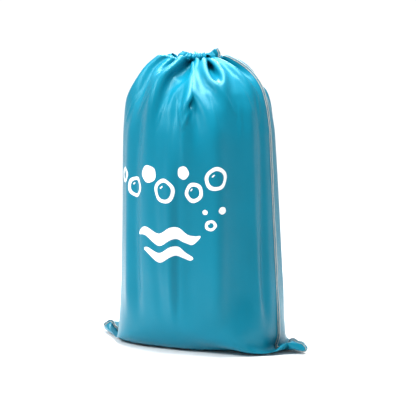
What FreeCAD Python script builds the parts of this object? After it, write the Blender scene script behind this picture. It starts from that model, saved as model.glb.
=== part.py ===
"""Drawstring laundry bag, standing filled with its mouth drawn closed.

Two flat panels are joined by an overlocked seam down each side and along the bottom. Their folded
top edges make a casing that holds a drawcord, and a spring cord lock on the cord's two tails keeps
the mouth closed. Millimetres, +Z up, the front towards -Y, origin on the floor under the middle.
"""

import FreeCAD, Part
import math
import os

from FreeCAD import Placement, Rotation, Vector

doc = FreeCAD.newDocument("LaundryBag")

# ---------------------------------------------------------------- driving dimensions

DIMENSIONS = {
    "half_width": 208,  # filled body, across the front
    "half_depth": 184,  # filled body, front to back
    "neck_height": 706,  # where the gathered panels meet the casing
    "fabric": 1.5,  # wall that stands for the cloth
    "neck_radius": 40,
    "casing_low": 703,
    "casing_top": 735,
    "casing_inner": 28.5,
    "casing_outer": 39.5,
    "seam_fin": 6,  # overlocked allowance that stands out past the wall
    "seam_gauge": 2,  # its thickness, front to back
    "ear_root": 180,  # a bottom corner, from the filled body to the sewn tip
    "ear_tip": 284,
    "ear_half_width": 42,
    "right_ear_half_height": 36,
    "left_ear_half_height": 24,
    "ear_tip_half_width": 9,
    "ear_tip_half_height": 4,
    "ear_lift": 3,  # its underside above the floor
    "ear_seam_height": 8,  # below this the overlock belongs to the bottom seam
    "thread": 0.5,
    "stitch_height": 711,
    "exit_half_width": 18,
    "exit_low": 711.8,
    "exit_high": 728,
    "film": 0.3,  # printed film on the front
    "cord": 4,
    "cord_ring": 34,
    "cord_height": 720,
    "barrel_radius": 9,
    "barrel_length": 22,
    "barrel_wall": 2,
    "bore_radius": 6.9,
    "plunger_radius": 6.6,
    "plunger_length": 18.2,
    "slot_half_height": 4.7,
    "slot_slack": 4,  # slot's far edge to the cord's middle
    "pinch": 2.3,  # the two pinching edges to the cord's middle, with the lock at rest
    "press_travel": 4,
    "spring_radius": 4.6,
    "spring_wire": 0.7,
    "knot_radius": 8,
    "knot_height": 14,
    "stub": 16,
}

sheet = doc.addObject("Spreadsheet::Sheet", "Sheet")
for row, (alias, value) in enumerate(DIMENSIONS.items(), start=1):
    sheet.set(f"A{row}", alias)
    sheet.set(f"B{row}", str(value))
    sheet.setAlias(f"B{row}", alias)
doc.recompute()

# Filled body: share of the neck's height, of the half width and of the half depth, floor to shoulder.
BODY_SECTIONS = [
    (0.000, 0.930, 0.600),
    (0.021, 0.975, 0.740),
    (0.064, 1.000, 0.880),
    (0.142, 1.000, 0.970),
    (0.354, 0.985, 1.000),
    (0.637, 0.955, 0.990),
    (0.765, 0.930, 0.950),
    (0.850, 0.875, 0.850),
    (0.907, 0.790, 0.720),
    (0.946, 0.690, 0.570),
    (0.977, 0.540, 0.380),
]

# Drawcord: the strands leave the casing at the back and run down through the lock at this slope.
EXIT_Y = 46.0
STRAND_SLOPE = 30.0
LOCK_AT = 42.0  # lock's middle, along the strands from the exit
STRAND_GAP = 4.2  # between the two strands' middles, one above the other in the lock
EXIT_GAP = 5.8  # the same where they leave the casing
CLOSE_AT = 26.0  # along the strands, where they come together
LOCK_CLEAR = 1.0
SLIDE_STRETCH = 50.0  # the strands run on past the lock in its own line for this far
RING_POINTS = 14
RING_START = 50.0  # degrees round from +X where the straight exit run leaves the ring


def cell(name):
    return float(getattr(sheet, name))


def bind(obj, **expressions):
    """Binds properties to sheet cells; a dot in a property's path is written as two underscores."""
    for path, expression in expressions.items():
        obj.setExpression(path.replace("__", "."), expression)
    return obj


def add(kind, name, **expressions):
    return bind(doc.addObject(kind, name), **expressions)


# ---------------------------------------------------------------- sack


def ellipse(name, half_width, half_depth, height):
    """A section across the sack, at a height."""
    return add(
        "Part::Ellipse",
        name,
        MajorRadius=half_width,
        MinorRadius=half_depth,
        Placement__Base__z=height,
    )


def sack_loft(name, grow, floor, neck):
    """The filled body as one solid, grown outwards by an expression, from a floor to a neck height."""
    sections = []
    for i, (up, wide, deep) in enumerate(BODY_SECTIONS):
        sections.append(
            ellipse(
                f"{name}_section_{i}",
                f"Sheet.half_width * {wide} + ({grow})",
                f"Sheet.half_depth * {deep} + ({grow})",
                f"Sheet.neck_height * {up} + ({floor})" if i == 0 else f"Sheet.neck_height * {up}",
            )
        )
    round_neck = f"Sheet.neck_radius + ({grow})"
    sections.append(ellipse(f"{name}_neck", round_neck, round_neck, f"Sheet.neck_height + ({neck})"))
    loft = doc.addObject("Part::Loft", name)
    loft.Sections = sections
    loft.Solid = True
    return loft


def ear(name, side, root_half_height, grow):
    """A sewn bottom corner that sticks out past the filled body, on one side."""
    ends = []
    for end, reach, wide, high in (
        ("root", "Sheet.ear_root", "Sheet.ear_half_width", root_half_height),
        ("tip", f"Sheet.ear_tip + {grow}", "Sheet.ear_tip_half_width", "Sheet.ear_tip_half_height"),
    ):
        section = add(
            "Part::Ellipse",
            f"{name}_{end}",
            MajorRadius=wide,
            MinorRadius=f"{high} + {grow} / 2",
            Placement__Base__x=f"{side} * ({reach})",
            Placement__Base__z=f"Sheet.ear_lift + {high} + {grow} / 2",
        )
        # the ellipse's long axis lies along Y and its short axis along Z
        section.Placement.Rotation = Rotation(Vector(0, 1, 0), Vector(0, 0, 1), Vector(1, 0, 0))
        ends.append(section)
    loft = doc.addObject("Part::Loft", name)
    loft.Sections = ends
    loft.Solid = True
    return loft


def fuse(name, *shapes):
    whole = doc.addObject("Part::MultiFuse", name)
    whole.Shapes = list(shapes)
    return whole


def common(name, base, tool):
    both = doc.addObject("Part::Common", name)
    both.Base, both.Tool = base, tool
    return both


def cut(name, base, tool):
    rest = doc.addObject("Part::Cut", name)
    rest.Base, rest.Tool = base, tool
    return rest


def box(name, low, high):
    """A box between two corners, each given as three expressions."""
    made = add(
        "Part::Box",
        name,
        Length=f"({high[0]}) - ({low[0]})",
        Width=f"({high[1]}) - ({low[1]})",
        Height=f"({high[2]}) - ({low[2]})",
    )
    return bind(
        made,
        Placement__Base__x=low[0],
        Placement__Base__y=low[1],
        Placement__Base__z=low[2],
    )


def tube_ring(name, inner, outer, low, high):
    """An upright ring of rectangular section round the mouth, between two radii and two heights."""
    height = f"({high}) - ({low})"
    whole = add("Part::Cylinder", f"{name}_outside", Radius=outer, Height=height, Placement__Base__z=low)
    hole = add("Part::Cylinder", f"{name}_inside", Radius=inner, Height=height, Placement__Base__z=low)
    return cut(name, whole, hole)


sack_outside = sack_loft("sack_outside", "0", "0", "0")
sack_room = sack_loft("sack_room", "0 - Sheet.fabric", "Sheet.fabric", "Sheet.fabric")
EARS = (("right", 1, "Sheet.right_ear_half_height"), ("left", -1, "Sheet.left_ear_half_height"))
ears = [ear(f"{name}_ear", side, high, 0) for name, side, high in EARS]
casing_outside = tube_ring(
    "casing_outside", "Sheet.casing_inner", "Sheet.casing_outer", "Sheet.casing_low", "Sheet.casing_top"
)
doc.recompute()
# The hem folds over at the top and turns under at the stitch line, so its edges are round.
casing_rounded = doc.addObject("Part::Fillet", "casing_rounded")
casing_rounded.Base = casing_outside
CASING_EDGE_RADIUS = 4.5
casing_rounded.Edges = [
    (i + 1, CASING_EDGE_RADIUS, CASING_EDGE_RADIUS)
    for i, edge in enumerate(casing_outside.Shape.Edges)
    if isinstance(edge.Curve, Part.Circle)
]
casing_channel = tube_ring(
    "casing_channel",
    "Sheet.casing_inner + Sheet.fabric",
    "Sheet.casing_outer - Sheet.fabric",
    "Sheet.casing_low + 3 * Sheet.fabric",
    "Sheet.casing_top - 3 * Sheet.fabric",
)
casing = cut("casing", casing_rounded, casing_channel)
cloth_skin = cut("cloth_skin", fuse("cloth_outside", sack_outside, *ears), sack_room)
cloth = fuse("cloth", cloth_skin, casing)

FAR = "2 * Sheet.half_width"
ABOVE = "2 * Sheet.neck_height"
half_gauge = "Sheet.seam_gauge / 2"
front_half = box("front_half", (f"0 - {FAR}", f"0 - {FAR}", "0"), (FAR, f"0 - {half_gauge}", ABOVE))
back_half = box("back_half", (f"0 - {FAR}", half_gauge, "0"), (FAR, FAR, ABOVE))
cord_exit = box(
    "cord_exit",
    ("0 - Sheet.exit_half_width", "Sheet.casing_outer - 5 * Sheet.fabric", "Sheet.exit_low"),
    ("Sheet.exit_half_width", "Sheet.casing_outer + Sheet.fabric", "Sheet.exit_high"),
)

front_panel = common("front_panel", cloth, front_half)
back_panel = cut("back_panel", common("back_cloth", cloth, back_half), cord_exit)

# ---------------------------------------------------------------- seams and stitching

fin_outside = fuse(
    "fin_outside",
    sack_loft("fin_body", "Sheet.seam_fin", "0", "0"),
    *[ear(f"{name}_fin", side, high, "Sheet.seam_fin") for name, side, high in EARS],
)
fin_ring = cut("fin_ring", fin_outside, sack_room)
seam_split = "Sheet.ear_seam_height"
seam_zones = {
    "left_side_seam": (
        (f"0 - {FAR}", f"0 - {half_gauge}", seam_split),
        ("0", half_gauge, "Sheet.casing_low"),
    ),
    "right_side_seam": (("0", f"0 - {half_gauge}", seam_split), (FAR, half_gauge, "Sheet.casing_low")),
    "bottom_seam": ((f"0 - {FAR}", f"0 - {half_gauge}", "0"), (FAR, half_gauge, seam_split)),
}
seams = [common(name, fin_ring, box(f"{name}_zone", *zone)) for name, zone in seam_zones.items()]

casing_stitching = add(
    "Part::Torus",
    "casing_stitching",
    Radius1="Sheet.casing_outer + Sheet.thread + 0.02",
    Radius2="Sheet.thread",
    Placement__Base__z="Sheet.stitch_height",
)

# ---------------------------------------------------------------- printed film on the front

# Bubbles: across and up from the floor, outside radius, and the share of it that is open (0 for a disc).
BUBBLES = [
    (-150, 428, 19, 0.58),
    (-104, 404, 25, 0.66),
    (-52, 440, 21, 0.0),
    (-4, 402, 29, 0.70),
    (48, 446, 15, 0.0),
    (74, 398, 23, 0.62),
    (128, 428, 27, 0.68),
    (112, 318, 13, 0.5),
    (140, 352, 9, 0.0),
    (100, 350, 6, 0.0),
]
WAVES = [(292, 88, 15), (248, 68, 12)]  # height, half length and half thickness of each stroke
WAVE_RISE = 9.0
WAVE_PITCH = 88.0
WAVE_STEPS = 24


def wave_outline(height, half_length, half_thickness):
    """A water stroke in the XZ plane that runs out to a point at each end."""
    upper, lower = [], []
    for i in range(WAVE_STEPS + 1):
        x = half_length * (2 * i / WAVE_STEPS - 1)
        middle = height + WAVE_RISE * math.sin(2 * math.pi * x / WAVE_PITCH)
        thick = half_thickness * math.sqrt(max(0.0, 1 - (x / half_length) ** 2))
        upper.append(Vector(x, 0, middle + thick))
        lower.append(Vector(x, 0, middle - thick))
    edges = []
    for points in (upper, lower[::-1]):
        curve = Part.BSplineCurve()
        curve.interpolate(points)
        edges.append(curve.toShape())
    return Part.Wire(edges)


def film_blanks():
    """The print's outlines, cut straight through the front."""
    through = Vector(0, -2 * cell("half_depth"), 0)
    blanks = []
    for x, up, radius, open_share in BUBBLES:
        centre = Vector(x, 0, up)
        blank = Part.Face(Part.Wire(Part.makeCircle(radius, centre, Vector(0, 1, 0))))
        if open_share:
            hole = Part.Face(Part.Wire(Part.makeCircle(radius * open_share, centre, Vector(0, 1, 0))))
            blank = blank.cut(hole)
        blanks.append(blank.extrude(through))
    for stroke in WAVES:
        blanks.append(Part.Face(wave_outline(*stroke)).extrude(through))
    return Part.makeCompound(blanks)


film_outside = sack_loft("film_outside", "Sheet.film", "0", "0")
film_skin = cut("film_skin", film_outside, sack_outside)
film_cutter = doc.addObject("Part::Feature", "film_cutter")
film_cutter.Shape = film_blanks()
printed_motif = common("printed_motif", film_skin, film_cutter)

# ---------------------------------------------------------------- drawcord


def strand_frame():
    """The strands' direction down the back and the direction away from the cloth."""
    slope = math.radians(STRAND_SLOPE)
    along = Vector(0, math.cos(slope), -math.sin(slope))
    off = Vector(0, math.sin(slope), math.cos(slope))
    return along, off


def route_edges(points):
    """Straight runs joined by tangent arcs, each as large as its two runs allow. Returns edges and radii."""
    edges, radii = [], []
    start = points[0]
    for before, here, after in zip(points, points[1:], points[2:]):
        run_in, run_out = (here - before), (after - here)
        turn = run_in.getAngle(run_out)
        back = 0.45 * min(run_in.Length, run_out.Length)
        radii.append(back / math.tan(turn / 2))
        into, out = Vector(run_in).normalize(), Vector(run_out).normalize()
        first, last = here - into * back, here + out * back
        inward = Vector(out - into).normalize()
        middle = here + inward * (radii[-1] / math.cos(turn / 2) - radii[-1])
        edges.append(Part.LineSegment(start, first).toShape())
        edges.append(Part.Arc(first, middle, last).toShape())
        start = last
    edges.append(Part.LineSegment(start, points[-1]).toShape())
    return edges, radii


def cord_solid(points, label):
    """A round cord along a route, with its volume compared to its section times its length."""
    edges, radii = route_edges(points)
    path = Part.Wire(edges)
    circle = Part.makeCircle(cell("cord") / 2, points[0], points[1] - points[0])
    solid = path.makePipeShell([Part.Wire(circle)], True, True)
    expected = math.pi * (cell("cord") / 2) ** 2 * path.Length
    print(
        f"{label}: length {path.Length:.1f} mm, volume share {solid.Volume / expected:.4f}, "
        f"smallest radius {min(radii):.1f} mm, radii {[round(r) for r in radii]}"
    )
    return solid


def loop_route():
    """Through the lock, into the casing, once round the mouth and out again, drifting down one strand."""
    along, off = strand_frame()
    ring, height = cell("cord_ring"), cell("cord_height")
    points = []
    for i in range(RING_POINTS):
        share = i / (RING_POINTS - 1)
        turn = math.radians(RING_START - share * (180 + 2 * RING_START))
        points.append(
            Vector(ring * math.cos(turn), ring * math.sin(turn), height + STRAND_GAP * (0.5 - share))
        )
    reach = LOCK_AT + cell("barrel_radius") + LOCK_CLEAR
    strands = []
    for side in (1, -1):
        middle = Vector(0, EXIT_Y, height)
        held = middle + off * (side * STRAND_GAP / 2)
        strands.append(
            [held + along * reach, held + along * CLOSE_AT, middle + off * (side * EXIT_GAP / 2)]
        )
    return [*strands[0], *points, *strands[1][::-1]]


# Tails: across, back and up at each point of the route, from the end of the stretch that the lock
# can slide on, down the back to the knot.
RIGHT_TAIL = [
    (4, 163.0, 628.0),
    (10, 181.5, 577.0),
    (12, 188.5, 521.0),
    (15, 189.2, 464.0),
    (13, 190.6, 408.0),
    (17, 191.0, 351.0),
    (14, 190.2, 295.0),
    (9, 191.4, 240.0),
    (7, 191.8, 190.0),
]
LEFT_TAIL = [
    (-4, 161.0, 625.5),
    (-11, 180.0, 574.0),
    (-16, 187.8, 518.0),
    (-14, 190.0, 461.0),
    (-17, 189.2, 405.0),
    (-13, 190.6, 349.0),
    (-15, 190.8, 294.0),
    (-11, 191.2, 240.0),
    (-6, 191.9, 190.0),
]
KNOT_TOP = (0, 193.5, 150.0)
KNOT_STRAND = 2.3  # each strand's middle from the knot's own
KNOT_CLEAR = 0.3


def tail_route(side, inner):
    """From the lock's lower face, along the hand-placed points, into the top of the knot."""
    along, off = strand_frame()
    start = (
        Vector(0, EXIT_Y, cell("cord_height"))
        + off * (side * STRAND_GAP / 2)
        + along * (LOCK_AT + cell("barrel_radius") + LOCK_CLEAR)
    )
    free = start + along * SLIDE_STRETCH
    end = Vector(*KNOT_TOP) + Vector(side * KNOT_STRAND, 0, KNOT_CLEAR)
    return [start, free, *[Vector(*p) for p in inner], end]


cord_features = {}
for label, route in (
    ("drawcord_loop", loop_route()),
    ("right_cord_tail", tail_route(1, RIGHT_TAIL)),
    ("left_cord_tail", tail_route(-1, LEFT_TAIL)),
):
    cord_features[label] = doc.addObject("Part::Feature", label)
    cord_features[label].Shape = cord_solid(route, label)


def placed(obj, expression_base):
    """Puts a piece at a point given as three expressions."""
    return bind(
        obj,
        Placement__Base__x=expression_base[0],
        Placement__Base__y=expression_base[1],
        Placement__Base__z=expression_base[2],
    )


knot_x, knot_y, knot_z = KNOT_TOP
knot_body = placed(
    add("Part::Cylinder", "knot_body", Radius="Sheet.knot_radius", Height="Sheet.knot_height"),
    (str(knot_x), str(knot_y), f"{knot_z} - Sheet.knot_height"),
)
doc.recompute()
KNOT_EDGE_RADIUS = 3.2
knot_rounded = doc.addObject("Part::Fillet", "knot_rounded")
knot_rounded.Base = knot_body
knot_rounded.Edges = [
    (i + 1, KNOT_EDGE_RADIUS, KNOT_EDGE_RADIUS)
    for i, edge in enumerate(knot_body.Shape.Edges)
    if isinstance(edge.Curve, Part.Circle)
]
stub_height = "Sheet.stub + Sheet.knot_height / 2"
stubs = [
    placed(
        add("Part::Cylinder", f"stub_{name}", Radius="Sheet.cord / 2", Height=stub_height),
        (f"{side} * {KNOT_STRAND}", str(knot_y), f"{knot_z} - Sheet.knot_height - Sheet.stub"),
    )
    for name, side in (("right", 1), ("left", -1))
]
tail_knot = fuse("tail_knot", knot_rounded, *stubs)

# ---------------------------------------------------------------- cord lock

# Made with the button along +Z and the strands along +Y, then laid so that the button points along +X.
along, off = strand_frame()
lock_centre = Vector(0, EXIT_Y, cell("cord_height")) + along * LOCK_AT
# local X -> away from the cloth, local Y -> along the strands, local Z -> +X of the bag
lock_place = Placement(lock_centre, Rotation(off * -1, along, Vector(1, 0, 0), "ZYX"))

BUTTON_STANDS_OUT = 5.0
SLOT_REACH = "2 * Sheet.barrel_radius"
mouth_z = "Sheet.barrel_length / 2"
barrel_bottom = f"0 - {mouth_z}"
slot_centre = 1.5  # the strands cross the barrel this far towards its mouth


def slot_box(name, low, high):
    """A hole across the lock for the two strands, between two local heights."""
    return box(
        name,
        ("0 - Sheet.slot_half_height", f"0 - {SLOT_REACH}", low),
        ("Sheet.slot_half_height", SLOT_REACH, high),
    )


barrel_outside = add(
    "Part::Cylinder",
    "barrel_outside",
    Radius="Sheet.barrel_radius",
    Height="Sheet.barrel_length",
    Placement__Base__z=barrel_bottom,
)
doc.recompute()
BARREL_EDGE_RADIUS = 1.6
barrel_rounded = doc.addObject("Part::Fillet", "barrel_rounded")
barrel_rounded.Base = barrel_outside
barrel_rounded.Edges = [
    (i + 1, BARREL_EDGE_RADIUS, BARREL_EDGE_RADIUS)
    for i, edge in enumerate(barrel_outside.Shape.Edges)
    if isinstance(edge.Curve, Part.Circle)
]
bore = add(
    "Part::Cylinder",
    "barrel_bore",
    Radius="Sheet.bore_radius",
    Height="Sheet.barrel_length",
    Placement__Base__z=f"{barrel_bottom} + Sheet.barrel_wall",
)
barrel_slot = slot_box("barrel_slot", f"{slot_centre} - Sheet.slot_slack", f"{slot_centre} + Sheet.pinch")
lock_barrel = cut("lock_barrel", cut("barrel_bored", barrel_rounded, bore), barrel_slot)

plunger_top = f"{mouth_z} + {BUTTON_STANDS_OUT}"
plunger_outside = add(
    "Part::Cylinder",
    "plunger_outside",
    Radius="Sheet.plunger_radius",
    Height="Sheet.plunger_length",
    Placement__Base__z=f"{plunger_top} - Sheet.plunger_length",
)
doc.recompute()
BUTTON_EDGE_RADIUS = 2.0
button_edge = max(
    (edge.CenterOfMass.z, i + 1)
    for i, edge in enumerate(plunger_outside.Shape.Edges)
    if isinstance(edge.Curve, Part.Circle)
)[1]
plunger_rounded = doc.addObject("Part::Fillet", "plunger_rounded")
plunger_rounded.Base = plunger_outside
plunger_rounded.Edges = [(button_edge, BUTTON_EDGE_RADIUS, BUTTON_EDGE_RADIUS)]
window = slot_box(
    "plunger_window",
    f"{slot_centre} - Sheet.pinch",
    f"{slot_centre} + Sheet.pinch + Sheet.press_travel",
)
lock_plunger = cut("lock_plunger", plunger_rounded, window)

doc.recompute()
SPRING_TURNS = 3
POINTS_PER_TURN = 16
SPRING_CLEAR = 0.1


wire_radius = cell("spring_wire") / 2
wire_room = wire_radius + SPRING_CLEAR
spring_floor = wire_room + cell("barrel_wall") - cell("barrel_length") / 2
spring_top = cell("barrel_length") / 2 + BUTTON_STANDS_OUT - cell("plunger_length") - wire_room


def spring_solid():
    """A coil that stands on its local floor and ends just under the plunger's foot."""
    radius, height = cell("spring_radius"), spring_top - spring_floor
    steps = SPRING_TURNS * POINTS_PER_TURN
    points = []
    for step in range(steps + 1):
        turn = 2 * math.pi * step / POINTS_PER_TURN
        points.append(Vector(radius * math.cos(turn), radius * math.sin(turn), height * step / steps))
    coil = Part.BSplineCurve()
    coil.interpolate(points)
    circle = Part.makeCircle(wire_radius, points[0], coil.tangent(coil.FirstParameter)[0])
    return Part.Wire(coil.toShape()).makePipeShell([Part.Wire(circle)], True, True)


lock_spring = doc.addObject("Part::Feature", "lock_spring")
lock_spring.Shape = spring_solid()
shift = Placement(Vector(0, 0, -slot_centre), Rotation())
for piece in (lock_barrel, lock_plunger, lock_spring):
    piece.Placement = lock_place.multiply(shift)
lock_spring.Placement = lock_spring.Placement.multiply(Placement(Vector(0, 0, spring_floor), Rotation()))

# ---------------------------------------------------------------- write the sub-parts

SUB_PARTS = [
    front_panel,
    back_panel,
    *seams,
    casing_stitching,
    printed_motif,
    *cord_features.values(),
    tail_knot,
    lock_barrel,
    lock_plunger,
    lock_spring,
]

doc.recompute()
for obj in doc.Objects:
    if {"Invalid", "Error"} & set(obj.State):
        raise RuntimeError(f"{obj.Label} failed: {obj.State}")
os.makedirs("parts", exist_ok=True)
for piece in SUB_PARTS:
    shape = piece.Shape
    if shape.isNull() or not shape.isValid():
        raise RuntimeError(f"{piece.Label} has no valid shape")
    box_of = shape.BoundBox
    print(
        f"{piece.Label}: {len(shape.Solids)} solid(s), {shape.Volume:.0f} mm3, "
        f"X {box_of.XMin:.1f}..{box_of.XMax:.1f}, Y {box_of.YMin:.1f}..{box_of.YMax:.1f}, "
        f"Z {box_of.ZMin:.1f}..{box_of.ZMax:.1f}"
    )
    shape.exportStep(f"parts/{piece.Label}.step")
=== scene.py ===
import math

import bpy
import numpy as np
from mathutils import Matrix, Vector


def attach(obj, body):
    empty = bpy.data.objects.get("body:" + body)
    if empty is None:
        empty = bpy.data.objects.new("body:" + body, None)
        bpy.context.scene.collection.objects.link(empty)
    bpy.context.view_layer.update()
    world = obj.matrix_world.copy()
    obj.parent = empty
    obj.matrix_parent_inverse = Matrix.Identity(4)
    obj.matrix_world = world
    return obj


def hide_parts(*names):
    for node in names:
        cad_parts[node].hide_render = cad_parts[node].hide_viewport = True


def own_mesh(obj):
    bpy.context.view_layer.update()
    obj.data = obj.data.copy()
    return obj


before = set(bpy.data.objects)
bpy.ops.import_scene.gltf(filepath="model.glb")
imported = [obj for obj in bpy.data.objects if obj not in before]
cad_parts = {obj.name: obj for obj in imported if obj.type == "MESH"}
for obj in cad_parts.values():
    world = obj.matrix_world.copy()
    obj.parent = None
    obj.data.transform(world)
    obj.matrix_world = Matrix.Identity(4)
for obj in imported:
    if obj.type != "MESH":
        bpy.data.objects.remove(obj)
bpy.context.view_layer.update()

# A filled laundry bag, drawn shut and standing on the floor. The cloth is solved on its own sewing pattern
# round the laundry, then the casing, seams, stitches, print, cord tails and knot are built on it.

# ---- sizes

FLAT_WIDTH = 0.604          # one panel between its side seams
FLAT_HEIGHT = 0.914         # bottom seam to the folded top edge
CASING_DEPTH = 0.030        # folded edge to the casing's stitching
BODY_HEIGHT = FLAT_HEIGHT - CASING_DEPTH
AROUND = 2 * FLAT_WIDTH

STITCH_Z = 0.709            # height of the casing's stitching once it is drawn shut
CORD_RADIUS = 0.002
MOUTH_TOP = 0.733
GATHER_RADIUS = 0.037       # middle of the gathered cloth at the stitching
VALLEY_RADIUS = 0.018       # how far in its pleats' valleys reach

TEAL = (0.0005, 0.162, 0.252)
THREAD = (0.78, 0.66, 0.56)
PRINT = (0.86, 0.89, 0.90)
BLACK = (0.008, 0.008, 0.009)

TINY = 1e-12                # keeps a division clear of zero


def smooth(x, low, high):
    """0 up to low, 1 from high on, and an even slope between."""
    t = np.clip((x - low) / (high - low), 0, 1)
    return t * t * (3 - 2 * t)


def bell(x, middle, width):
    """1 at the middle, falling away on both sides."""
    return np.exp(-(((x - middle) / width) ** 2))


def azimuth(x, y):
    """Degrees round the bag from the middle of its front, rising towards +X."""
    return np.degrees(np.arctan2(x, -y))


def unit(vectors):
    return vectors / (np.linalg.norm(vectors, axis=-1, keepdims=True) + TINY)


def points_round(radius, angle, *height):
    """Points at a radius and an angle round the bag's axis, with a height if one is given."""
    return np.stack([radius * np.cos(angle), radius * np.sin(angle), *height], -1)


def parts(points):
    return points[..., 0], points[..., 1], points[..., 2]


def link(name, data):
    """A new object in the scene."""
    made = bpy.data.objects.new(name, data)
    bpy.context.scene.collection.objects.link(made)
    return made


# ---- camera, light and floor

VIEW_AZIMUTH = math.radians(26.5)
VIEW_ELEVATION = math.radians(7.0)
VIEW_DISTANCE = 4.2
FRAME_WIDTH = 1.04          # metres across the picture at the bag
AIM_RIGHT = 0.02125
AIM_HEIGHT = 0.341
SENSOR = 36

KEY_FROM = (-1.9, -2.0, 2.1)
KEY_ANGLE = math.radians(14)
KEY_STRENGTH = 2.3
# name, place, size and power of the soft lights, which all point at the same place
SOFT_LIGHTS = (("top", (0.05, -0.12, 1.55), (0.5, 0.55), 27), ("behind", (-0.5, 1.1, 1.7), (0.9, 0.45), 36))
LIGHTS_AIM = (0, 0, 0.5)
# the studio round the bag, height on the sky and glow: bright at the horizon, dim above it, bright overhead
SKY = ((0.0, 1.0), (0.06, 1.0), (0.14, 0.22), (0.95, 1.0))
SKY_STRENGTH = 1.05
FLOOR_REACH = 80.0
FLOOR_PALE = (0.93, 0.93, 0.93, 1)


def place_camera():
    right = Vector((math.cos(VIEW_AZIMUTH), math.sin(VIEW_AZIMUTH), 0))
    toward = Vector((math.sin(VIEW_AZIMUTH), -math.cos(VIEW_AZIMUTH), 0)) * math.cos(VIEW_ELEVATION)
    toward.z = math.sin(VIEW_ELEVATION)
    aim = right * AIM_RIGHT + Vector((0, 0, AIM_HEIGHT))
    data = bpy.data.cameras.new("camera")
    data.sensor_width = SENSOR
    data.lens = SENSOR * VIEW_DISTANCE / FRAME_WIDTH
    camera = link("camera", data)
    camera.location = aim + toward * VIEW_DISTANCE
    camera.rotation_euler = toward.to_track_quat("Z", "Y").to_euler()
    bpy.context.scene.camera = camera


def set_stops(band, stops):
    """Gives a colour ramp its stops, each a position and a colour."""
    while len(band.elements) < len(stops):
        band.elements.new(0.5)
    for element, (position, colour) in zip(band.elements, stops):
        element.position = position
        element.color = (*colour, 1)


def light_studio():
    sun = bpy.data.lights.new("key", "SUN")
    sun.energy = KEY_STRENGTH
    sun.angle = KEY_ANGLE
    link("key", sun).rotation_euler = Vector(KEY_FROM).to_track_quat("Z", "Y").to_euler()
    for name, place, size, power in SOFT_LIGHTS:
        data = bpy.data.lights.new(name, "AREA")
        data.shape = "RECTANGLE"
        data.size, data.size_y = size
        data.energy = power
        light = link(name, data)
        light.location = place
        light.rotation_euler = (Vector(place) - Vector(LIGHTS_AIM)).to_track_quat("Z", "Y").to_euler()
    bpy.context.scene.view_settings.view_transform = "Standard"
    world = bpy.data.worlds.new("studio")
    world.use_nodes = True
    tree = world.node_tree
    background = tree.nodes["Background"]
    background.inputs["Strength"].default_value = SKY_STRENGTH
    place = tree.nodes.new("ShaderNodeTexCoord")
    split = tree.nodes.new("ShaderNodeSeparateXYZ")
    fade = tree.nodes.new("ShaderNodeValToRGB")
    set_stops(fade.color_ramp, [(height, (glow, glow, glow)) for height, glow in SKY])
    tree.links.new(place.outputs["Generated"], split.inputs["Vector"])
    tree.links.new(split.outputs["Z"], fade.inputs["Fac"])
    tree.links.new(fade.outputs["Color"], background.inputs["Color"])
    bpy.context.scene.world = world


def lay_floor():
    data = bpy.data.meshes.new("floor")
    corners = [(FLOOR_REACH * x, FLOOR_REACH * y, 0) for x, y in ((-1, -1), (1, -1), (1, 1), (-1, 1))]
    data.from_pydata(corners, [], [(0, 1, 2, 3)])
    floor = link("floor", data)
    paint = bpy.data.materials.new("floor_paint")
    paint.use_nodes = True
    shader = paint.node_tree.nodes["Principled BSDF"]
    shader.inputs["Base Color"].default_value = FLOOR_PALE
    shader.inputs["Roughness"].default_value = 0.9
    data.materials.append(paint)


# ---- materials

class Paint:
    """A material whose nodes are made one after another."""

    def __init__(self, name, **values):
        self.material = bpy.data.materials.new(name)
        self.material.use_nodes = True
        self.tree = self.material.node_tree
        self.shader = self.tree.nodes["Principled BSDF"]
        for socket, value in values.items():
            self.shader.inputs[socket.replace("_", " ")].default_value = value

    def node(self, kind, **links):
        made = self.tree.nodes.new("ShaderNode" + kind)
        for socket, value in links.items():
            self.feed(made.inputs[socket], value)
        return made

    def feed(self, socket, value):
        if isinstance(value, bpy.types.NodeSocket):
            self.tree.links.new(value, socket)
        else:
            socket.default_value = value

    def coordinates(self, kind, scale=(1, 1, 1), turn=0.0):
        source = self.node("TexCoord").outputs[kind]
        mapping = self.node("Mapping", Vector=source, Scale=scale, Rotation=(0, 0, turn))
        return mapping.outputs["Vector"]

    def noise(self, where, scale, detail=3.0):
        return self.node("TexNoise", Vector=where, Scale=scale, Detail=detail).outputs["Fac"]

    def wave(self, where, scale, direction="X"):
        made = self.node("TexWave", Vector=where, Scale=scale)
        made.bands_direction = direction
        made.wave_profile = "SIN"
        return made.outputs["Fac"]

    def math(self, operation, a, b=0.0):
        made = self.tree.nodes.new("ShaderNodeMath")
        made.operation = operation
        self.feed(made.inputs[0], a)
        self.feed(made.inputs[1], b)
        return made.outputs[0]

    def ramp(self, value, stops):
        made = self.tree.nodes.new("ShaderNodeValToRGB")
        self.feed(made.inputs["Fac"], value)
        set_stops(made.color_ramp, stops)
        return made.outputs["Color"]

    def range(self, value, low, high):
        made = self.node("MapRange", Value=value)
        made.inputs["To Min"].default_value = low
        made.inputs["To Max"].default_value = high
        return made.outputs["Result"]

    def finish(self, colour, roughness, *bumps):
        """Each bump is a height and how far it stands, in metres; the first is the coarsest."""
        self.feed(self.shader.inputs["Base Color"], colour)
        self.feed(self.shader.inputs["Roughness"], roughness)
        normal = None
        for height, stand in bumps:
            made = self.node("Bump", Height=height, Distance=stand)
            made.inputs["Strength"].default_value = 1.0
            if normal is not None:
                self.feed(made.inputs["Normal"], normal)
            normal = made.outputs["Normal"]
        self.feed(self.shader.inputs["Normal"], normal)
        return self.material


def shade(colour, gain):
    return tuple(min(1.0, part * gain) for part in colour)


WEAVE_SCALE = 420.0         # the weave's waves over a metre of the pattern


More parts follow.
